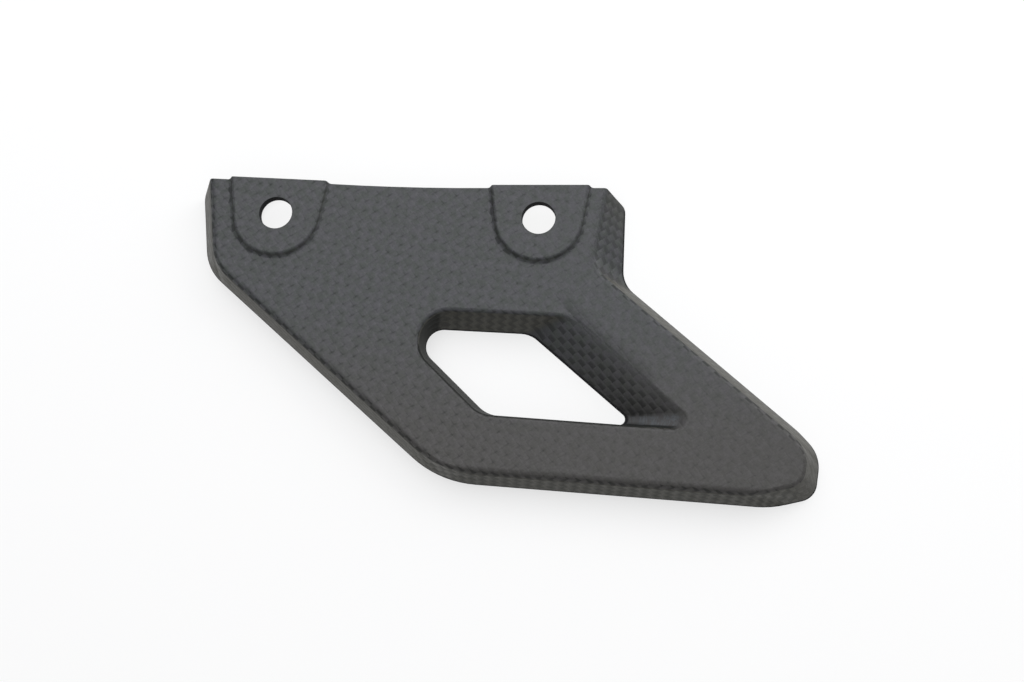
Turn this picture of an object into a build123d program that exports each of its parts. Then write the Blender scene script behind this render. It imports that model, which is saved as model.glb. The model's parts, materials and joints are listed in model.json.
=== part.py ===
from build123d import *
from dataclasses import dataclass
import math
import os

# A lower chain guard for a motorcycle, moulded as one thin woven laminate shell.
# A flat panel has a flange turned down round every edge but the top one.
# A dished window goes through the panel, and two raised pads carry the bolt holes.
# The origin is midway between the bolt holes, on the seat faces behind the pads.
# X runs along the two holes, Y to the trimmed top edge, and Z out of the panel's face.

# Mounting pads and their holes
hole_spacing = 70.0
hole_diameter = 8.8
pad_radius = 11.2
pad_rise = 1.2
pad_lean = 35.0
pad_flare = 9.0
pad_edge_radius = 0.9
pad_foot_radius = 1.1

# Laminate shell
wall = 2.4
flange_depth = 8.0
ridge_radius = 1.2
crease_radius = 1.2
inner_ridge_radius = 0.6

# Left side, near the left hole
left_reach = 21.6
left_angle = 8.2
left_lean = 26.0
left_corner_radius = 14.0

# Lower and upper diagonals, which are parallel
diagonal_angle = 39.9
lower_diagonal_drop = 59.1
lower_diagonal_lean = 13.5
upper_diagonal_rise = 33.2
upper_diagonal_lean = 24.0

# Bottom side
bottom_drop = 68.5
bottom_angle = 2.5
bottom_lean = 10.0
heel_radius = 28.0

# Tip, at the lower right
toe_x = 102.2
toe_y = -71.1
toe_angle = 15.0
toe_lean = 21.0
toe_radius = 25.0
tip_x = 108.0
tip_y = -63.0
tip_angle = 83.2
tip_lean = 27.0
tip_lower_radius = 5.0
tip_upper_radius = 9.0
tip_upper_ridge_radius = 7.5
brow_x = 103.9
brow_y = -53.9
brow_angle = 47.0
brow_radius = 20.0

# Right side, near the right hole, with the widest flange
right_reach = 22.4
right_lean = 38.5
right_ridge_turn = -8.7
waist_radius = 8.0

# Top edge, trimmed after moulding by a cut that leans back
top_left_rise = 9.3
top_left_angle = 1.7
top_right_rise = 8.8
top_right_angle = 1.1
top_middle_rise = 8.35
top_bow_half_length = 21.0
trim_lean = 20.0
trim_corner_radius = 2.0
trim_allowance = 22.0

# Window, measured in the rim plane
window_top_drop = 28.7
window_top_x = 17.5
window_top_angle = 1.5
window_top_lean = 23.0
window_right_margin = 26.3
window_right_lean = 50.0
window_bottom_margin = 18.4
window_bottom_lean = 11.5
window_left_margin = 20.9
window_left_angle = 43.0
window_left_lean = 14.5
window_left_x = 13.2
window_nose_radius = 4.6
window_nose_crease_radius = 8.2
window_heel_radius = 8.0
window_toe_radius = 1.5
window_toe_crease_radius = 2.5
window_shoulder_radius = 7.0

# Levels above the seat faces
panel_level = wall - pad_rise
rim_level = panel_level - flange_depth
pad_level = panel_level + pad_rise
overrun = 2.0

HOLE_SIDES = (-1, 1)
TOUCH = 0.001


@dataclass
class Side:
    """A straight side in the rim plane. The outline runs anticlockwise, along each heading in turn."""

    x: float
    y: float
    heading: float
    lean: float
    ridge_turn: float = 0.0


def drop_at(x, drop, angle):
    """The height at x of a line that crosses the middle at a drop and falls to the right."""
    return -drop - x * math.tan(math.radians(angle))


def shift_inwards(side, distance):
    """The point of a side moved square to it, into the outline."""
    heading = math.radians(side.heading)
    return (side.x - distance * math.sin(heading), side.y + distance * math.cos(heading))


def outer_sides():
    """The sides of the guard's rim, from the left one round to the top."""
    half = hole_spacing / 2
    left = Side(-half - left_reach, 0, left_angle - 90, left_lean)
    lower = Side(0, -lower_diagonal_drop, -diagonal_angle, lower_diagonal_lean)
    bottom = Side(0, -bottom_drop, -bottom_angle, bottom_lean)
    toe = Side(toe_x, toe_y, toe_angle, toe_lean)
    tip = Side(tip_x, tip_y, tip_angle, tip_lean)
    brow = Side(brow_x, brow_y, 180 - brow_angle, upper_diagonal_lean)
    upper = Side(0, upper_diagonal_rise, 180 - diagonal_angle, upper_diagonal_lean)
    right = Side(half + right_reach, 0, 90, right_lean, right_ridge_turn)
    top = Side(0, max(top_left_rise, top_right_rise) + trim_allowance, 180, 0)
    return [left, lower, bottom, toe, tip, brow, upper, right, top]


def outer_radii():
    """Corner radii at the rim and at the ridge, each at the start of the side of the same place."""
    return [
        (trim_corner_radius, trim_corner_radius),
        (left_corner_radius, left_corner_radius),
        (heel_radius, heel_radius),
        (toe_radius, toe_radius),
        (tip_lower_radius, tip_lower_radius),
        (tip_upper_radius, tip_upper_ridge_radius),
        (brow_radius, brow_radius),
        (waist_radius, waist_radius),
        (trim_corner_radius, trim_corner_radius),
    ]


def window_sides():
    """The sides of the window's opening, tied to the sides of the guard that they follow."""
    _, lower, bottom, _, _, _, upper, _, _ = outer_sides()
    rim_y = drop_at(window_left_x, lower_diagonal_drop, diagonal_angle)
    anchor = Side(window_left_x, rim_y, lower.heading, 0)
    left = Side(*shift_inwards(anchor, window_left_margin), -window_left_angle, -window_left_lean)
    floor = Side(*shift_inwards(bottom, window_bottom_margin), bottom.heading, -window_bottom_lean)
    right = Side(*shift_inwards(upper, window_right_margin), upper.heading, -window_right_lean)
    top = Side(window_top_x, -window_top_drop, 180 - window_top_angle, -window_top_lean)
    return [left, floor, right, top]


def window_radii():
    """Corner radii of the window at the opening and at the crease."""
    return [
        (window_nose_radius, window_nose_crease_radius),
        (window_heel_radius, window_heel_radius),
        (window_toe_radius, window_toe_crease_radius),
        (window_shoulder_radius, window_shoulder_radius),
    ]


def line_at(side, level, inset):
    """A point and a direction of a side's wall at a level, with the wall moved in square to itself."""
    rise = level - rim_level
    lean = math.radians(side.lean)
    point = shift_inwards(side, rise * math.tan(lean) + inset / math.cos(lean))
    heading = math.radians(side.heading + side.ridge_turn * rise / flange_depth)
    return point, (math.cos(heading), math.sin(heading))


def crossing(first, second):
    """Where two lines meet."""
    (ax, ay), (ux, uy) = first
    (bx, by), (vx, vy) = second
    along = ((bx - ax) * vy - (by - ay) * vx) / (ux * vy - uy * vx)
    return (ax + along * ux, ay + along * uy)


def corner_radius(radii, level, inset, turn):
    """A corner's radius at a level: it tightens with the inset outside a bend and opens inside it."""
    at_rim, at_ridge = radii
    share = (level - rim_level) / flange_depth
    radius = at_rim + (at_ridge - at_rim) * share - math.copysign(inset, turn)
    return max(radius, inner_ridge_radius)


def outline(sides, radii, level, inset):
    """The closed, rounded outline of a drafted wall at a level."""
    lines = [line_at(side, level, inset) for side in sides]
    points = []
    rounds = []
    for place, line in enumerate(lines):
        before = lines[place - 1]
        turn = before[1][0] * line[1][1] - before[1][1] * line[1][0]
        points.append((*crossing(before, line), level))
        rounds.append(corner_radius(radii[place], level, inset, turn))
    return FilletPolyline(*points, radius=rounds, close=True)


def drafted_block(sides, radii, inset, bottom, top):
    """A block whose walls lean as the sides do, between two levels."""
    ends = [make_face(outline(sides, radii, level, inset)) for level in (bottom, top)]
    return loft(ends, ruled=True)


def edges_at(shape, level):
    """The edges of a shape that lie flat at a level."""
    return shape.edges().filter_by_position(Axis.Z, level - TOUCH, level + TOUCH)


def panel_face(shape, level):
    """The largest flat face of a shape at a level."""
    flats = shape.faces().filter_by_position(Axis.Z, level - TOUCH, level + TOUCH)
    return flats.sort_by(SortBy.AREA)[-1]


def pad_outline(radius, level):
    """A pad's outline: round below its hole, with sides that open out up past the top edge."""
    reach = max(top_left_rise, top_right_rise) + 2 * overrun
    far_radius = radius + reach * math.sin(math.radians(pad_flare))
    rounds = [Edge.make_circle(radius), Pos(0, reach) * Edge.make_circle(far_radius)]
    return Pos(0, 0, level) * make_hull(rounds)


def pad(inset):
    """One raised pad, centred on its hole, with its side moved in square to itself."""
    lean = math.radians(pad_lean)
    spread = pad_rise * math.tan(lean)
    narrowing = inset * math.tan((math.pi / 2 - lean) / 2)
    foot = pad_outline(pad_radius + spread - narrowing, panel_level - inset)
    face = pad_outline(pad_radius - narrowing, pad_level - inset)
    block = loft([foot, face], ruled=True)
    return fillet(edges_at(block, pad_level - inset), pad_edge_radius)


def with_pads(block, level, inset):
    """A block with both pads on its face and their feet rounded."""
    for side in HOLE_SIDES:
        block += Pos(side * hole_spacing / 2, 0, 0) * pad(inset)
    feet = [wire for wire in panel_face(block, level).inner_wires() if wire.center().Y > -pad_radius]
    return fillet([edge for wire in feet for edge in wire.edges()], pad_foot_radius)


def form(inset, bottom):
    """The outer form of the guard, or the cavity behind it when it is inset by the wall."""
    level = panel_level - inset
    block = drafted_block(outer_sides(), outer_radii(), inset, bottom, level)
    block = fillet(edges_at(block, level), max(ridge_radius - inset, inner_ridge_radius))
    well = drafted_block(window_sides(), window_radii(), -inset, bottom - overrun, level + overrun)
    block -= well
    block = fillet(panel_face(block, level).inner_wires()[0].edges(), crease_radius)
    return with_pads(block, level, inset)


def trim():
    """What the trimming cut takes off above the top edge, straight over the pads and bowed between them."""
    far = tip_x + trim_allowance
    half = hole_spacing / 2
    left_slope = math.tan(math.radians(top_left_angle))
    right_slope = math.tan(math.radians(top_right_angle))
    left_end = (-far, top_left_rise + (far - half) * left_slope)
    left_foot = (-top_bow_half_length, top_left_rise - (half - top_bow_half_length) * left_slope)
    right_foot = (top_bow_half_length, top_right_rise - (half - top_bow_half_length) * right_slope)
    right_end = (far, top_right_rise + (far - half) * right_slope)
    bow = ThreePointArc(left_foot, (0, top_middle_rise), right_foot)
    over = Polyline(right_foot, right_end, (far, far), (-far, far), left_end, left_foot)
    face = Pos(0, 0, panel_level) * make_face([*bow.edges(), *over.edges()])
    lean = math.radians(trim_lean)
    reach = 2 * flange_depth / math.cos(lean)
    return extrude(face, amount=reach, dir=(0, math.sin(lean), math.cos(lean)), both=True)


def holes():
    """Both bolt holes, through the pads."""
    bore = Cylinder(hole_diameter / 2, 2 * flange_depth)
    return [Pos(side * hole_spacing / 2, 0, 0) * bore for side in HOLE_SIDES]


def flange_ends(shell):
    """The short edges across the wall where the trimmed top meets the rim."""
    back = -flange_depth * math.tan(math.radians(trim_lean))
    across = edges_at(shell, rim_level).filter_by_position(Axis.Y, back, top_left_rise)
    return across.filter_by(lambda edge: abs((edge @ 1 - edge @ 0).Y) < wall / 2)


def guard():
    """The whole guard: the outer form less the cavity, trimmed, rounded at its free corners and drilled."""
    shell = form(0, rim_level) - form(wall, rim_level - overrun) - trim()
    shell = fillet(flange_ends(shell), trim_corner_radius)
    return shell - holes()


os.makedirs("parts", exist_ok=True)
shell = guard()
export_step(shell, "parts/guard_shell.step")
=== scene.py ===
import json
import math

import bmesh
import bpy
from bpy.props import FloatProperty, FloatVectorProperty, PointerProperty
from bpy.types import Operator, Panel, PropertyGroup
from mathutils import Matrix, Vector


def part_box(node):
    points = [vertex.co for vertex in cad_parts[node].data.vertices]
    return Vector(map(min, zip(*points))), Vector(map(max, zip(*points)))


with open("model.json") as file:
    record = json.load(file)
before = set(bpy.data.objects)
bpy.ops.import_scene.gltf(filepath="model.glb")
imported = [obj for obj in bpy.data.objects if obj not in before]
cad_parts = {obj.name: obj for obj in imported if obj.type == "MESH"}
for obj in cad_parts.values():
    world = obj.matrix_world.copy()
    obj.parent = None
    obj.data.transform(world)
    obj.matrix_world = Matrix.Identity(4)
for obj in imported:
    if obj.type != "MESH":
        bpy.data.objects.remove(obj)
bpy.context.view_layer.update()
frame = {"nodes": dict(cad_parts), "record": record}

bl_info = {
    "name": "Motorcycle chain guard",
    "version": (1, 0, 0),
    "blender": (4, 5, 0),
    "location": "View3D > Sidebar > Chain Guard",
    "description": "Finishes a moulded chain guard in matt woven laminate and sets it on a pale studio floor",
    "category": "Object",
}

MM = 0.001
SHELL = "guard_shell"
MOUNTS = {mount["name"]: mount for mount in frame["record"]["mounts"]}
HOLES = MOUNTS["mounting_holes"]["dims"]
HOLE_SPACING = HOLES["spacing_x_mm"] * MM
HOLE_RADIUS = HOLES["hole_r_mm"] * MM
RIM_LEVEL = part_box(SHELL)[0].z
WALL = 2.4 * MM
PAD_RISE = 1.2 * MM
PANEL_LEVEL = WALL - PAD_RISE
WINDOW_MIDDLE = (31.0 * MM, -41.0 * MM)

# The weave and its marks; the marks at the crossings are painted shade and painted highlights. The scales of
# spots and drift are per metre, and shifts are in threads.
EDGE_POWER = 0.4
CROSSING_BLEND = (-0.15, 0.15)
DRIFT = 0.35
WARP_DRIFT_SCALE = 110.0
WEFT_DRIFT_SCALE = 90.0
FILAMENTS_ACROSS = 7.0
FILAMENTS_ALONG = 0.25
THREAD_SWING = 0.3
WEFT_SHARE = 0.6
LEAN_FADE = (0.3, 0.62)
FLECK_SCALE = 1500.0
FILAMENT_SHARE = 0.45
GRAIN_FADE = (0.32, 0.68)
SPOT_POWER = 4.0
SPOT_SHARE = 0.12
STREAK_POWER = 0.6
STREAK_SHARE = 0.42
STREAK_SHIFT = 0.06
STREAK_EDGE = (0.1, 0.7)
RISING_EDGE = (0.05, 0.5)
RISING_START = (0.3, 0.6)
RISING_SHARE = 0.8
SCALE_SHARE = 0.3
PAINTED_HIGHLIGHT_SHARE = 0.4
PAINTED_HIGHLIGHT_SHIFT = 0.15
REST_SHARE = 0.28
CALM_MARKS = 0.45
PATCH_SCALE = 520.0
PATCH_FADE = (0.33, 0.67)
PATCH_LEAST = 0.35
PATCH_SWING = 1.3

# The mottle, the relief and the coats of the laminate: a lit coat, a darker copy of it for painted shade, and
# the cut edge coat.
COARSE_SCALE = 420.0
FINE_SCALE = 2600.0
COARSE_SHARE = 0.6
MOTTLE_FADE = (0.36, 0.64)
LOW_SHARE = 0.75
BODY_FADE = (0.1, 0.8)
BODY_REST = 0.5
BODY_CALM = 0.2
FILAMENT_RELIEF = 0.12
MOTTLE_RELIEF = 0.05
CALM_RELIEF = 0.25
ROUGHNESS_SWING = 0.08
DIM_ROUGHNESS = 0.6
CUT_ROUGHNESS = 0.8
RESIN_IOR = 1.5

# Pairs of marks between which the finish fades: first those along an axis of the part, past a bend,
# away from a hole's axis or away from the window's middle.
WAIST_X = (50.0 * MM, 56.0 * MM)
WAIST_Y = (-18.0 * MM, -13.0 * MM)
CREASE_START_X = (38.0 * MM, 45.0 * MM)
CREASE_END_X = (63.0 * MM, 69.0 * MM)
PAST_CREASE = (-1.0 * MM, 3.5 * MM)
CALM_X = (10.0 * MM, 60.0 * MM)
LOW_Y = (-65.0 * MM, -20.0 * MM)
WINDOW_SIDE = (0.0, 1.0 * MM)
WINDOW_TOP_Y = (-24.0 * MM, -22.0 * MM)
NOSE_X = (16.0 * MM, 20.0 * MM)
TOE_X = (46.0 * MM, 52.0 * MM)
TOE_Z = (PANEL_LEVEL - 1.6 * MM, PANEL_LEVEL - 0.5 * MM)
BEFORE_TOE_X = (50.0 * MM, 54.0 * MM)
BEFORE_TIP_X = (62.0 * MM, 68.0 * MM)
DEEP_Z = (-6.5 * MM, 1.0 * MM)
PAD_WALL_Z = (PANEL_LEVEL + 0.05 * MM, PANEL_LEVEL + 0.3 * MM)
BORE_EDGE = (HOLE_RADIUS + 0.03 * MM, HOLE_RADIUS + 0.15 * MM)
CUT_TOP_Y = (3.0 * MM, 5.0 * MM)

# The pairs for how far the surface faces along an axis.
LEVEL_NZ = (0.5, 0.9)
CALM_NZ = (0.85, 0.97)
MARKED_NZ = (0.82, 0.95)
UPRIGHT_NZ = (0.35, 0.7)
STEEP_NZ = (0.42, 0.6)
WALL_NZ = (0.27, 0.37)
RAISED_NY = (0.0, 0.25)
RAISED_NZ = (0.75, 0.95)
NOSE_NX = (0.75, 0.9)
TOE_NY = (-0.4, -0.1)
TOE_LINE_NY = (0.3, 0.5)
DOWN_NY = (0.7, 0.95)
FACING_NX = (0.2, 0.7)
CUT_TOP_NY = (0.86, 0.9)

# How the painted shade of leaning threads changes on some of the walls, and how much painted shade the window
# takes with depth.
SOFT_LOSS = 0.3
SOFT_REST = 0.15
SHELTER_SHARE = 0.8
FACING_SHARE = 0.3
PAD_WALL_LOSS = 0.35
DEPTH_SHADE_SHARE = 0.18

# The stage.
FLOOR_REACH = 3.0
FLOOR_WHITE = 0.58
FAR_FLOOR = (0.3, 0.9)
HOLE_GLOW = (HOLE_RADIUS + 1.0 * MM, HOLE_RADIUS + 4.5 * MM)
HOLE_GLOW_SHARE = 0.6
SKY_LIGHT = 0.4
LAMP_TARGET = (0.025, -0.032, 0.0)


class Bend:
    """A straight bend that the cloth rounds off more than the solid does."""

    def __init__(self, facing, offset, radius, reach):
        self.inward = (math.cos(math.radians(facing)), math.sin(math.radians(facing)))
        self.offset = offset * MM
        self.reach = reach * MM
        self.depth = 0.5 * self.reach * self.reach / (radius * MM)


LEFT_RIDGE = Bend(facing=8.2, offset=52.1, radius=2.5, reach=1.6)
LOWER_RIDGE = Bend(facing=50.1, offset=43.4, radius=2.5, reach=1.8)
BOTTOM_RIDGE = Bend(facing=87.5, offset=67.0, radius=3.0, reach=2.2)
WIDE_CREASE = Bend(facing=50.1, offset=-8.7, radius=11.0, reach=4.0)
UPPER_RIDGE = Bend(facing=-129.9, offset=21.9, radius=3.0, reach=1.4)
RIGHT_RIDGE = Bend(facing=171.3, offset=51.1, radius=6.0, reach=2.4)
RIDGES = (LEFT_RIDGE, LOWER_RIDGE, BOTTOM_RIDGE, UPPER_RIDGE)
BEND_TILT = 0.5
EASE = 0.35 * MM
PAD_FOOT = 12.0 * MM
PAD_FOOT_REACH = 1.5 * MM
PAD_FLARE = math.radians(9.0)


class LaminateSettings(PropertyGroup):
    thread_pitch: FloatProperty(
        name="Thread pitch",
        description="Distance from one thread of the cloth to the next",
        default=1.97 * MM,
        min=0.5 * MM,
        subtype="DISTANCE",
        unit="LENGTH",
    )
    warp_angle: FloatProperty(
        name="Warp angle",
        description="Heading of the warp threads on the panel, from the line of the holes",
        default=math.radians(34),
        subtype="ANGLE",
        unit="ROTATION",
    )
    weft_angle: FloatProperty(
        name="Weft angle",
        description="Heading of the weft threads on the panel, from the line of the holes",
        default=math.radians(-50),
        subtype="ANGLE",
        unit="ROTATION",
    )
    thread_relief: FloatProperty(
        name="Thread relief",
        description="Height of a thread's crown over its edge, under the resin",
        default=0.046 * MM,
        min=0.0,
        subtype="DISTANCE",
        unit="LENGTH",
    )
    thread_colour: FloatVectorProperty(
        name="Thread colour",
        description="Colour of the carbon threads under the matt resin",
        default=(0.034, 0.034, 0.041),
        min=0.0,
        max=1.0,
        subtype="COLOR",
    )
    second_colour: FloatVectorProperty(
        name="Second thread colour",
        description="Colour that the threads vary towards from place to place",
        default=(0.026, 0.031, 0.029),
        min=0.0,
        max=1.0,
        subtype="COLOR",
    )
    low_colour: FloatVectorProperty(
        name="Lower thread colour",
        description="Colour that the threads take on towards the bottom of the panel",
        default=(0.032, 0.0285, 0.026),
        min=0.0,
        max=1.0,
        subtype="COLOR",
    )
    # Painted highlight: a lighter colour on the valley at the window's toe, where the upturned fillet faces
    # the light above.
    toe_highlight_colour: FloatVectorProperty(
        name="Resin pool colour",
        description="Colour of the hazy resin that pools in the window's tight corner",
        default=(0.052, 0.057, 0.064),
        min=0.0,
        max=1.0,
        subtype="COLOR",
    )
    wall_colour: FloatVectorProperty(
        name="Wall thread colour",
        description="Colour of the threads on upright walls, where the resin is thicker",
        default=(0.037, 0.035, 0.026),
        min=0.0,
        max=1.0,
        subtype="COLOR",
    )
    gap_colour: FloatVectorProperty(
        name="Gap colour",
        description="Colour of the resin in the gaps between threads",
        default=(0.010, 0.011, 0.011),
        min=0.0,
        max=1.0,
        subtype="COLOR",
    )
    cut_colour: FloatVectorProperty(
        name="Cut edge colour",
        description="Colour of the laminate where it was trimmed or drilled",
        default=(0.012, 0.012, 0.013),
        min=0.0,
        max=1.0,
        subtype="COLOR",
    )
    roughness: FloatProperty(
        name="Resin roughness",
        description="Roughness of the matt resin over the threads",
        default=0.46,
        min=0.0,
        max=1.0,
        subtype="FACTOR",
    )
    gloss: FloatProperty(
        name="Resin gloss",
        description="Strength of the reflection on the matt resin",
        default=0.4,
        min=0.0,
        max=1.0,
        subtype="FACTOR",
    )
    dim_colour: FloatVectorProperty(
        name="Dim thread colour",
        description="Colour of a thread that leans away from the light",
        default=(0.010, 0.011, 0.010),
        min=0.0,
        max=1.0,
        subtype="COLOR",
    )
    dim_gloss: FloatProperty(
        name="Dim gloss",
        description="Strength of the reflection on dim threads and cut edges",
        default=0.08,
        min=0.0,
        max=1.0,
        subtype="FACTOR",
    )
    dim_share: FloatProperty(
        name="Dim thread share",
        description="How strongly the leaning threads dim",
        default=0.62,
        min=0.0,
        max=1.0,
        subtype="FACTOR",
    )
    # Painted shade and painted highlights at the threads' crossings.
    painted_mark_share: FloatProperty(
        name="Edge mark share",
        description="How strongly the marks along the threads' edges show",
        default=0.34,
        min=0.0,
        max=1.0,
        subtype="FACTOR",
    )
    grain_share: FloatProperty(
        name="Grain share",
        description="How strongly the fine flecks of the resin show",
        default=0.17,
        min=0.0,
        max=1.0,
        subtype="FACTOR",
    )
    # Painted shade on the window's walls.
    window_shade_share: FloatProperty(
        name="Window wall share",
        description="How strongly the steep walls of the window dim",
        default=0.9,
        min=0.0,
        max=1.0,
        subtype="FACTOR",
    )
    cut_band: FloatProperty(
        name="Cut edge band",
        description="Height of the sanded band along the rim and the window",
        default=0.6 * MM,
        min=0.0,
        subtype="DISTANCE",
        unit="LENGTH",
    )


class StageSettings(PropertyGroup):
    focal_length: FloatProperty(
        name="Focal length",
        description="Lens of the camera on a sensor 36 mm wide",
        default=52.73,
        min=1.0,
        subtype="DISTANCE_CAMERA",
        unit="CAMERA",
    )
    target: FloatVectorProperty(
        name="Camera target",
        description="Point on the panel in the middle of the picture",
        default=(29.57 * MM, -33.21 * MM, PANEL_LEVEL),
        subtype="XYZ",
        unit="LENGTH",
    )
    distance: FloatProperty(
        name="Camera distance",
        description="Distance from the camera to its target",
        default=385.0 * MM,
        subtype="DISTANCE",
        unit="LENGTH",
    )
    azimuth: FloatProperty(
        name="Camera azimuth",
        description="Turn of the camera round the part, from straight below the picture",
        default=math.radians(18.79),
        subtype="ANGLE",
        unit="ROTATION",
    )
    elevation: FloatProperty(
        name="Camera elevation",
        description="Height of the camera over the horizon",
        default=math.radians(73.95),
        subtype="ANGLE",
        unit="ROTATION",
    )
    roll: FloatProperty(
        name="Camera roll",
        description="Turn of the camera about its own line of sight",
        default=math.radians(-16.55),
        subtype="ANGLE",
        unit="ROTATION",
    )
    floor_colour: FloatVectorProperty(
        name="Floor colour",
        description="Colour of the floor under the part",
        default=(0.83, 0.83, 0.83),
        min=0.0,
        max=1.0,
        subtype="COLOR",
    )


class Value:
    """A number that varies over a surface. Its operators add the Math nodes that work it out."""

    def __init__(self, finish, socket):
        self.finish = finish
        self.socket = socket

    def math(self, operation, *others):
        inputs = dict(enumerate((self, *others)))
        return self.finish.value("ShaderNodeMath", {"operation": operation}, inputs)

    def __add__(self, other):
        return self.math("ADD", other)

    __radd__ = __add__

    def __sub__(self, other):
        return self.math("SUBTRACT", other)

    def __rsub__(self, other):
        return self.finish.value("ShaderNodeMath", {"operation": "SUBTRACT"}, {0: other, 1: self})

    def __mul__(self, other):
        return self.math("MULTIPLY", other)

    __rmul__ = __mul__

    def __truediv__(self, other):
        return self.math("DIVIDE", other)

    def __abs__(self):
        return self.math("ABSOLUTE")

    def __pow__(self, other):
        return self.math("POWER", other)

    def most(self, other):
        """The greater of two values."""
        return self.math("MAXIMUM", other)

    def half_turns(self, operation):
        """The sine or cosine of this many half turns."""
        return (self * math.pi).math(operation)

    def past(self, marks):
        """0 below the first of two marks and 1 above the second, smooth between them."""
        low, high = marks
        settings = {"interpolation_type": "SMOOTHSTEP"}
        return self.finish.value("ShaderNodeMapRange", settings, {0: self, 1: low, 2: high})

    def before(self, marks):
        """1 below the first of two marks and 0 above the second, smooth between them."""
        return 1.0 - self.past(marks)


class Finish:
    """One material or world, built node by node."""

    def __init__(self, owner):
        owner.use_nodes = True
        self.tree = owner.node_tree
        self.tree.nodes.clear()

    def node(self, kind, settings=None, inputs=None):
        """Adds a node, with its settings first and then the values or links of its sockets."""
        made = self.tree.nodes.new(kind)
        for name, value in (settings or {}).items():
            setattr(made, name, value)
        for name, value in (inputs or {}).items():
            socket = made.inputs[name]
            if isinstance(value, Value):
                value = value.socket
            if isinstance(value, bpy.types.NodeSocket):
                self.tree.links.new(value, socket)
            else:
                socket.default_value = value
        return made

    def value(self, kind, settings=None, inputs=None, output=0):
        """Adds a node and returns one of its outputs as a value."""
        return Value(self, self.node(kind, settings, inputs).outputs[output])

    def split(self, socket):
        """The three parts of a vector."""
        made = self.node("ShaderNodeSeparateXYZ", None, {0: socket})
        return [Value(self, output) for output in made.outputs]

    def blend(self, factor, first, second):
        """A colour between two others."""
        made = self.node("ShaderNodeMix", {"data_type": "RGBA"}, {0: factor, 6: first, 7: second})
        return made.outputs[2]


def rgba(colour):
    return (*colour, 1.0)


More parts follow.
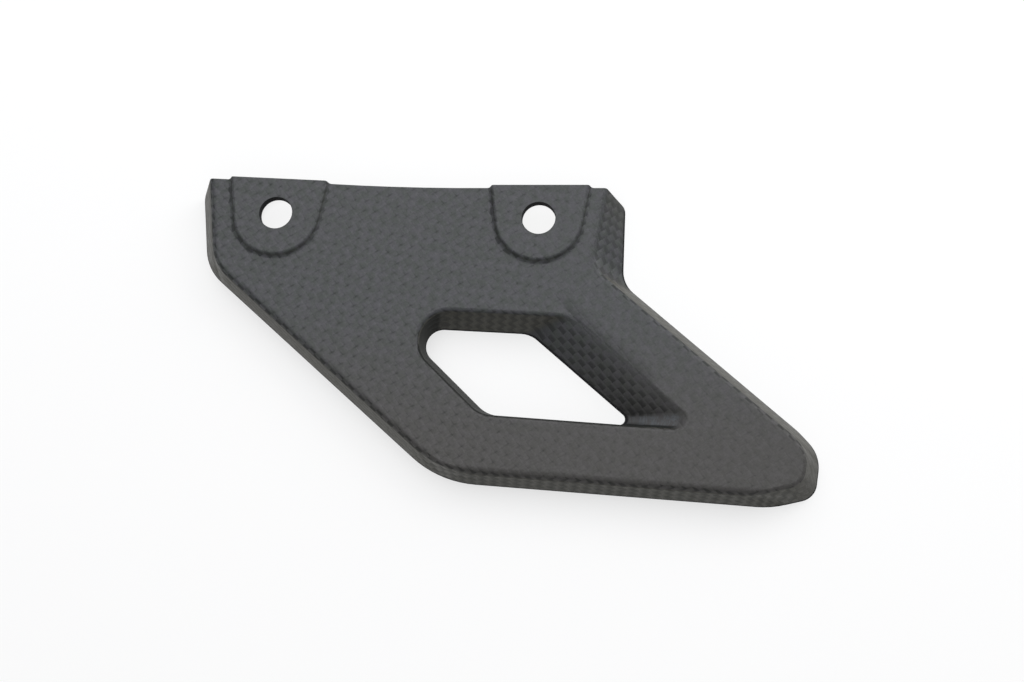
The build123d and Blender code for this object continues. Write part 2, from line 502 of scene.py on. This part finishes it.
class Cloth:
    """The plain weave of the laminate, laid over the shell as cloth drapes over the mould."""

    def __init__(self, finish, settings):
        self.finish = finish
        place = finish.node("ShaderNodeTexCoord").outputs["Object"]
        normal = finish.node("ShaderNodeNewGeometry").outputs["Normal"]
        self.x, self.y, self.z = finish.split(place)
        self.nx, self.ny, self.nz = finish.split(normal)
        self.find_window()
        self.calm = self.x.past(CALM_X) * self.nz.past(CALM_NZ)
        self.lay(settings)
        self.weave()
        self.bend()

    def find_window(self):
        """Marks the window's walls, the valley at its toe, which takes a painted highlight and a painted
        shadow line, and the tight corners with 1.
        """
        aside = (WINDOW_MIDDLE[0] - self.x) * self.nx + (WINDOW_MIDDLE[1] - self.y) * self.ny
        self.window = aside.past(WINDOW_SIDE) * self.y.before(WINDOW_TOP_Y)
        valley = self.z.before(TOE_Z) * self.x.past(TOE_X)
        self.toe = self.window * valley * self.ny.past(TOE_NY)
        nose = self.x.before(NOSE_X) * self.nx.past(NOSE_NX)
        self.pinched = self.toe.most(self.window * nose)

    def lay(self, settings):
        """Threads crossed along the warp and along the weft, counted on the unrolled cloth."""
        fall = (PANEL_LEVEL - self.z) / (self.nz + self.nz.math("SIGN"))
        self.across = self.x + self.nx * fall
        self.along = self.y + self.ny * fall
        warp = settings.warp_angle
        weft = settings.weft_angle
        cell = settings.thread_pitch * math.sin(warp - weft)
        warp_drift = (self.spots(self.across, self.along, WARP_DRIFT_SCALE) - 0.5) * DRIFT
        weft_drift = (self.spots(self.along, self.across, WEFT_DRIFT_SCALE) - 0.5) * DRIFT
        self.warp_count = (
            self.across * (-math.sin(weft) / cell) + self.along * (math.cos(weft) / cell) + warp_drift
        )
        self.weft_count = (
            self.across * (math.sin(warp) / cell) - self.along * (math.cos(warp) / cell) + weft_drift
        )
        self.warp_share = self.warp_count.math("FRACT")
        self.weft_share = self.weft_count.math("FRACT")

    def spots(self, across, along, scale):
        """Soft random spots about one half."""
        place = self.finish.node("ShaderNodeCombineXYZ", None, {0: across, 1: along}).outputs[0]
        inputs = {"Vector": place, "Scale": scale, "Detail": 2.0}
        return self.finish.value("ShaderNodeTexNoise", {"noise_dimensions": "2D"}, inputs)

    def weave(self):
        """The height of the upper thread everywhere, from 0 in the corner gaps to 2 on the crowns."""
        first = self.warp_count.half_turns("SINE")
        second = self.weft_count.half_turns("SINE")
        over = (first * second).math("SIGN")
        warp_height = over * abs(first) + abs(second) ** EDGE_POWER
        weft_height = abs(first) ** EDGE_POWER - over * abs(second)
        self.warp_on_top = (warp_height - weft_height).past(CROSSING_BLEND)
        self.height = warp_height.most(weft_height)

    def bend(self):
        """How far the cloth lies below the solid's bends, and how far it tilts out over them."""
        along_crease = self.x.past(CREASE_START_X) * self.x.before(CREASE_END_X)
        above_waist = self.y.past(WAIST_Y)
        past_waist = self.x.past(WAIST_X)
        self.tilt_x = self.nx
        self.tilt_y = self.ny
        self.level = self.nz.past(LEVEL_NZ) * BEND_TILT
        self.sag = self.sag_at(WIDE_CREASE) * along_crease + self.sag_at(RIGHT_RIDGE) * above_waist
        for ridge in RIDGES:
            share = past_waist if ridge is UPPER_RIDGE else 1.0
            self.sag = self.sag + self.sag_at(ridge) * share
            self.lean_out(self.near(ridge) * share, ridge)
        self.bend_pads()

    def from_bend(self, bend):
        """Distance from a bend, on the inner side of it."""
        return self.x * bend.inward[0] + self.y * bend.inward[1] + bend.offset

    def near(self, bend):
        """1 on the line of a bend, down to 0 at its reach."""
        aside = self.from_bend(bend)
        beside = (aside * aside + EASE * EASE).math("SQRT")
        return (1.0 - beside / bend.reach).most(0.0)

    def sag_at(self, bend):
        """How far the cloth lies below the solid beside a bend."""
        near = self.near(bend)
        return near * near * bend.depth

    def lean_out(self, near, ridge):
        """Tilts the cloth away from the inner side of a ridge, on level ground alone."""
        self.tilt_x = self.tilt_x - near * self.level * ridge.inward[0]
        self.tilt_y = self.tilt_y - near * self.level * ridge.inward[1]

    def bend_pads(self):
        """Tilts the cloth out round the feet of both pads."""
        aside = abs(self.x) - HOLE_SPACING / 2
        out = abs(aside) * math.cos(PAD_FLARE) - self.y * math.sin(PAD_FLARE)
        down = (self.y * math.cos(PAD_FLARE) + abs(aside) * math.sin(PAD_FLARE)).math("MINIMUM", 0.0)
        reach = (out * out + down * down).math("SQRT")
        near = (1.0 - abs(reach - PAD_FOOT) / PAD_FOOT_REACH).most(0.0) * self.level / reach
        side = aside.math("SIGN") * self.x.math("SIGN")
        self.tilt_x = self.tilt_x + near * side * (out * math.cos(PAD_FLARE) + down * math.sin(PAD_FLARE))
        self.tilt_y = self.tilt_y + near * (down * math.cos(PAD_FLARE) - out * math.sin(PAD_FLARE))

    def upper(self, warp, weft):
        """One value on the warp threads and another on the weft threads, whichever is on top."""
        return weft + (warp - weft) * self.warp_on_top

    def filaments(self):
        """Fine lines along each thread, about one half."""
        along_warp = self.warp_count * FILAMENTS_ALONG
        along_weft = self.weft_count * FILAMENTS_ALONG
        warp_lines = self.spots(along_warp, self.weft_count * FILAMENTS_ACROSS, 1.0)
        weft_lines = self.spots(self.warp_count * FILAMENTS_ACROSS, along_weft, 1.0)
        return self.upper(warp_lines, weft_lines)

    def mottle(self):
        """Patches where the threads' colour, the resin's haze and its roughness differ, from 0 to 1."""
        coarse = self.spots(self.across, self.along, COARSE_SCALE)
        fine = self.spots(self.across, self.along, FINE_SCALE)
        return (coarse * COARSE_SHARE + fine * (1.0 - COARSE_SHARE)).past(MOTTLE_FADE)

    def grain(self):
        """Fine flecks along the threads and across them, from 0 to 1."""
        flecks = self.spots(self.across, self.along, FLECK_SCALE)
        return (self.filaments() * FILAMENT_SHARE + flecks * (1.0 - FILAMENT_SHARE)).past(GRAIN_FADE)

    def crossing_painted_marks(self):
        """Painted shade and painted highlights on level cloth: dark spots and streaks at half of the
        crossings, painted highlight spots elsewhere.
        """
        across = self.warp_count.half_turns("COSINE")
        along = self.weft_count.half_turns("COSINE")
        shifted = (self.weft_count + PAINTED_HIGHLIGHT_SHIFT).half_turns("COSINE")
        dark = (across * along).most(0.0)
        # Painted highlight spots beside the other half of the crossings.
        light = (across * shifted * -1.0).most(0.0)
        edge = abs((self.weft_count - STREAK_SHIFT).half_turns("SINE")).before(STREAK_EDGE)
        end = abs(self.warp_count.half_turns("SINE")).before(RISING_EDGE)
        rising = end * self.weft_share.past(RISING_START)
        patches = self.spots(self.across, self.along, PATCH_SCALE).past(PATCH_FADE)
        patchy = PATCH_LEAST + PATCH_SWING * patches
        spots = dark ** SPOT_POWER * SPOT_SHARE
        streaks = dark ** STREAK_POWER * edge.most(rising * RISING_SHARE) * STREAK_SHARE
        scales = (0.5 - self.weft_share) * SCALE_SHARE
        # Painted shade of the crossings, less the painted highlights, over a resting share of painted shade.
        marks = (spots + streaks) * patchy + scales - light ** SPOT_POWER * PAINTED_HIGHLIGHT_SHARE
        return (REST_SHARE + marks * (1.0 - CALM_MARKS * self.calm)) * self.nz.past(MARKED_NZ)

    def thread_lean(self, heading, share):
        """How far threads of one heading lean from level, with their own rise and dive."""
        slope = self.tilt_x * math.cos(heading) + self.tilt_y * math.sin(heading)
        return abs(slope - share.half_turns("COSINE") * THREAD_SWING)

    def dim_threads(self, settings):
        """1 where a thread leans too far from level to catch light from above, 0 elsewhere."""
        warp_lean = self.thread_lean(settings.warp_angle, self.warp_share)
        weft_lean = self.thread_lean(settings.weft_angle, self.weft_share) * WEFT_SHARE
        down = (self.ny * -1.0).past(DOWN_NY)
        soft = self.window.most(down)
        leaning = self.upper(warp_lean, weft_lean).past(LEAN_FADE) * (1.0 - SOFT_LOSS * soft)
        before_crease = 1.0 - (self.from_bend(WIDE_CREASE) * -1.0).past(PAST_CREASE)
        lit_side = abs(self.nz).before(STEEP_NZ) * (1.0 - down) * SHELTER_SHARE
        facing = FACING_SHARE * self.nx.past(FACING_NX)
        sheltered = (1.0 - lit_side.most(facing)).most(self.window)
        pad_wall = 1.0 - PAD_WALL_LOSS * self.z.past(PAD_WALL_Z)
        dimmed = (leaning + SOFT_REST * soft) * sheltered
        return dimmed * (1.0 - self.window * before_crease) * pad_wall

    def window_painted_shade(self):
        """Painted shade: 1 on the steep walls of the window, less towards the panel on the others, 0
        elsewhere; it holds a painted shadow line along the toe and painted shade that grows with depth.
        """
        steep = self.nz.before(WALL_NZ) * self.x.before(BEFORE_TOE_X)
        raised = self.ny.past(RAISED_NY) * self.nz.before(RAISED_NZ) * self.x.before(BEFORE_TIP_X)
        # Painted shade that grows with depth in the window.
        depth_shade = self.z.before(DEEP_Z) * DEPTH_SHADE_SHARE * (1.0 - self.pinched)
        # Painted shadow line where the toe's fillet meets the panel.
        toe_shadow_line = self.toe * self.ny.past(TOE_LINE_NY)
        return self.window * steep.most(raised).most(toe_shadow_line).most(depth_shade)

    def trimmed(self, band):
        """1 on the bores, the trimmed top, the rim and the band over the rim, 0 elsewhere."""
        aside = abs(self.x) - HOLE_SPACING / 2
        reach = (aside * aside + self.y * self.y).math("SQRT")
        top = self.ny.past(CUT_TOP_NY) * self.y.past(CUT_TOP_Y)
        rim = self.z.before((RIM_LEVEL + 0.5 * band, RIM_LEVEL + band))
        return reach.before(BORE_EDGE).most(top).most(rim)


def coat(finish, colour, roughness, gloss, normal):
    """A layer of resin with its own colour and gloss."""
    inputs = {
        "Base Color": colour,
        "Roughness": roughness,
        "Specular IOR Level": gloss,
        "IOR": RESIN_IOR,
    }
    if normal:
        inputs["Normal"] = normal
    return finish.node("ShaderNodeBsdfPrincipled", None, inputs).outputs[0]


def laminate(settings):
    """Matt resin over plain-weave carbon cloth."""
    material = bpy.data.materials.new("woven_laminate_matt")
    finish = Finish(material)
    cloth = Cloth(finish, settings)
    mottle = cloth.mottle()
    mixed = finish.blend(mottle, rgba(settings.thread_colour), rgba(settings.second_colour))
    low = cloth.y.before(LOW_Y) * LOW_SHARE
    thread = finish.blend(low, mixed, rgba(settings.low_colour))
    upright = cloth.nz.before(UPRIGHT_NZ)
    wall_thread = finish.blend(upright, thread, rgba(settings.wall_colour))
    least_body = BODY_REST + cloth.calm * BODY_CALM
    body = cloth.height.past(BODY_FADE).most(cloth.pinched).most(least_body)
    woven = finish.blend(body, rgba(settings.gap_colour), wall_thread)
    # Painted highlight on the valley at the window's toe.
    colour = finish.blend(cloth.toe * mottle, woven, rgba(settings.toe_highlight_colour))
    smooth = 1.0 - cloth.pinched
    relief = cloth.height + cloth.filaments() * FILAMENT_RELIEF + mottle * MOTTLE_RELIEF
    bend_inputs = {"Strength": 1.0, "Distance": 1.0, "Height": cloth.sag * -1.0}
    bend = finish.node("ShaderNodeBump", None, bend_inputs).outputs[0]
    bump_inputs = {
        "Strength": 1.0,
        "Distance": settings.thread_relief,
        "Height": relief * smooth * (1.0 - CALM_RELIEF * cloth.calm),
        "Normal": bend,
    }
    bump = finish.node("ShaderNodeBump", None, bump_inputs).outputs[0]
    roughness = settings.roughness - 0.5 * ROUGHNESS_SWING + mottle * ROUGHNESS_SWING
    # A lit coat of resin and a darker copy of it, which stands for painted shade.
    lit_coat = coat(finish, colour, roughness, settings.gloss, bump)
    dim = coat(finish, rgba(settings.dim_colour), DIM_ROUGHNESS, settings.dim_gloss, bump)
    cut = coat(finish, rgba(settings.cut_colour), CUT_ROUGHNESS, settings.dim_gloss, None)
    # Painted shade from threads that lean from the light, the crossings' painted marks and the window's
    # walls, with the resin's real flecks, mixes the lit coat towards the dark copy.
    threads = cloth.dim_threads(settings) * settings.dim_share * smooth
    marks = cloth.crossing_painted_marks() * settings.painted_mark_share * smooth
    grain = cloth.grain() * settings.grain_share
    shade = threads.most(marks + grain).most(cloth.window_painted_shade() * settings.window_shade_share)
    resin = finish.node("ShaderNodeMixShader", None, {0: shade, 1: lit_coat, 2: dim}).outputs[0]
    share = cloth.trimmed(settings.cut_band)
    mix = finish.node("ShaderNodeMixShader", None, {0: share, 1: resin, 2: cut}).outputs[0]
    finish.node("ShaderNodeOutputMaterial", None, {"Surface": mix})
    return material


def aim(place, target, roll):
    """A turn that looks from a place at a target, then rolls about the line of sight."""
    look = (Vector(target) - Vector(place)).normalized()
    turn = look.to_track_quat("-Z", "Y").to_matrix().to_4x4()
    return Matrix.Translation(place) @ turn @ Matrix.Rotation(roll, 4, "Z")


def make_camera(settings):
    """The camera, set by its target, distance, azimuth, elevation and roll."""
    flat = math.cos(settings.elevation)
    away = Vector(
        (
            math.sin(settings.azimuth) * flat,
            -math.cos(settings.azimuth) * flat,
            math.sin(settings.elevation),
        )
    )
    target = Vector(settings.target)
    data = bpy.data.cameras.new("camera")
    data.lens = settings.focal_length
    camera = bpy.data.objects.new("camera", data)
    camera.matrix_world = aim(target + away * settings.distance, target, settings.roll)
    bpy.context.scene.collection.objects.link(camera)
    bpy.context.scene.camera = camera


def make_lamp(name, place, size, power, colour):
    """A square soft lamp that looks at the part."""
    data = bpy.data.lights.new(name, "AREA")
    data.shape = "SQUARE"
    data.size = size
    data.energy = power
    data.color = colour
    lamp = bpy.data.objects.new(name, data)
    lamp.matrix_world = aim(Vector(place), Vector(LAMP_TARGET), 0.0)
    bpy.context.scene.collection.objects.link(lamp)


def seen(finish):
    """1 for what the camera, a reflection or a clear thing sees, 0 for what only lights the part."""
    path = finish.node("ShaderNodeLightPath").outputs
    camera = Value(finish, path["Is Camera Ray"])
    glossy = Value(finish, path["Is Glossy Ray"])
    clear = Value(finish, path["Is Transmission Ray"])
    return camera.most(glossy).most(clear)


def make_floor(settings):
    """A pale floor in the plane of the rim, whiter far away, with a painted pool of light below each bolt
    hole.
    """
    mesh = bpy.data.meshes.new("floor")
    form = bmesh.new()
    bmesh.ops.create_grid(form, x_segments=1, y_segments=1, size=FLOOR_REACH)
    form.to_mesh(mesh)
    form.free()
    floor = bpy.data.objects.new("floor", mesh)
    floor.location.z = RIM_LEVEL
    bpy.context.scene.collection.objects.link(floor)
    material = bpy.data.materials.new("pale_floor")
    finish = Finish(material)
    lit = finish.node("ShaderNodeBsdfDiffuse", None, {"Color": rgba(settings.floor_colour)})
    white = finish.node("ShaderNodeEmission", None, {"Color": (1.0, 1.0, 1.0, 1.0), "Strength": 1.0})
    place = finish.node("ShaderNodeTexCoord").outputs["Object"]
    away = finish.value("ShaderNodeVectorMath", {"operation": "LENGTH"}, {0: place}, "Value")
    x, y = finish.split(place)[:2]
    aside = abs(x) - HOLE_SPACING / 2
    reach = (aside * aside + y * y).math("SQRT")
    # Painted pool of light on the floor below each bolt hole, in the part's shadow.
    clear = away.past(FAR_FLOOR).most(reach.before(HOLE_GLOW) * HOLE_GLOW_SHARE)
    factor = seen(finish) * (FLOOR_WHITE + (1.0 - FLOOR_WHITE) * clear)
    mix = finish.node("ShaderNodeMixShader", None, {0: factor, 1: lit.outputs[0], 2: white.outputs[0]})
    finish.node("ShaderNodeOutputMaterial", None, {"Surface": mix.outputs[0]})
    mesh.materials.append(material)


def make_world():
    """A white surround that lights the part less than it shows."""
    world = bpy.data.worlds.new("studio")
    bpy.context.scene.world = world
    finish = Finish(world)
    strength = SKY_LIGHT + (1.0 - SKY_LIGHT) * seen(finish)
    light = finish.node("ShaderNodeBackground", None, {"Color": (1.0, 1.0, 1.0, 1.0), "Strength": strength})
    finish.node("ShaderNodeOutputWorld", None, {"Surface": light.outputs[0]})


class GUARD_OT_laminate_shell(Operator):
    """Gives the moulded shell its matt woven laminate"""

    bl_idname = "guard.laminate_shell"
    bl_label = "Laminate Shell"

    def execute(self, context):
        shell = frame["nodes"][SHELL]
        material = laminate(context.scene.guard_laminate)
        for slot in shell.material_slots:
            slot.material = material
        return {"FINISHED"}


class GUARD_OT_studio(Operator):
    """Sets the pale floor, the lamps, the world and the camera round the part"""

    bl_idname = "guard.studio"
    bl_label = "Studio"

    def execute(self, context):
        settings = context.scene.guard_stage
        context.scene.view_settings.view_transform = "Standard"
        make_floor(settings)
        make_world()
        make_lamp(
            "overhead_softbox", place=(0.0, 0.33, 0.68), size=1.1, power=7.6, colour=(0.98, 0.985, 1.0)
        )
        make_lamp("side_softbox", place=(0.6, 0.46, 0.32), size=0.5, power=2.5, colour=(1.0, 1.0, 1.0))
        make_camera(settings)
        return {"FINISHED"}


class GUARD_PT_sidebar(Panel):
    bl_label = "Chain Guard"
    bl_idname = "GUARD_PT_sidebar"
    bl_space_type = "VIEW_3D"
    bl_region_type = "UI"
    bl_category = "Chain Guard"

    def draw(self, context):
        for name in ("guard_laminate", "guard_stage"):
            settings = getattr(context.scene, name)
            for key in settings.bl_rna.properties.keys():
                if key not in ("rna_type", "name"):
                    self.layout.prop(settings, key)
        for operator in OPERATORS:
            self.layout.operator(operator.bl_idname)


SETTINGS = (LaminateSettings, StageSettings)
OPERATORS = (GUARD_OT_laminate_shell, GUARD_OT_studio)
CLASSES = (*SETTINGS, *OPERATORS, GUARD_PT_sidebar)


def register():
    for made in CLASSES:
        bpy.utils.register_class(made)
    bpy.types.Scene.guard_laminate = PointerProperty(type=LaminateSettings)
    bpy.types.Scene.guard_stage = PointerProperty(type=StageSettings)


def unregister():
    del bpy.types.Scene.guard_stage
    del bpy.types.Scene.guard_laminate
    for made in reversed(CLASSES):
        bpy.utils.unregister_class(made)


def main():
    register()
    bpy.ops.guard.laminate_shell()
    bpy.ops.guard.studio()


if __name__ == "__main__":
    main()
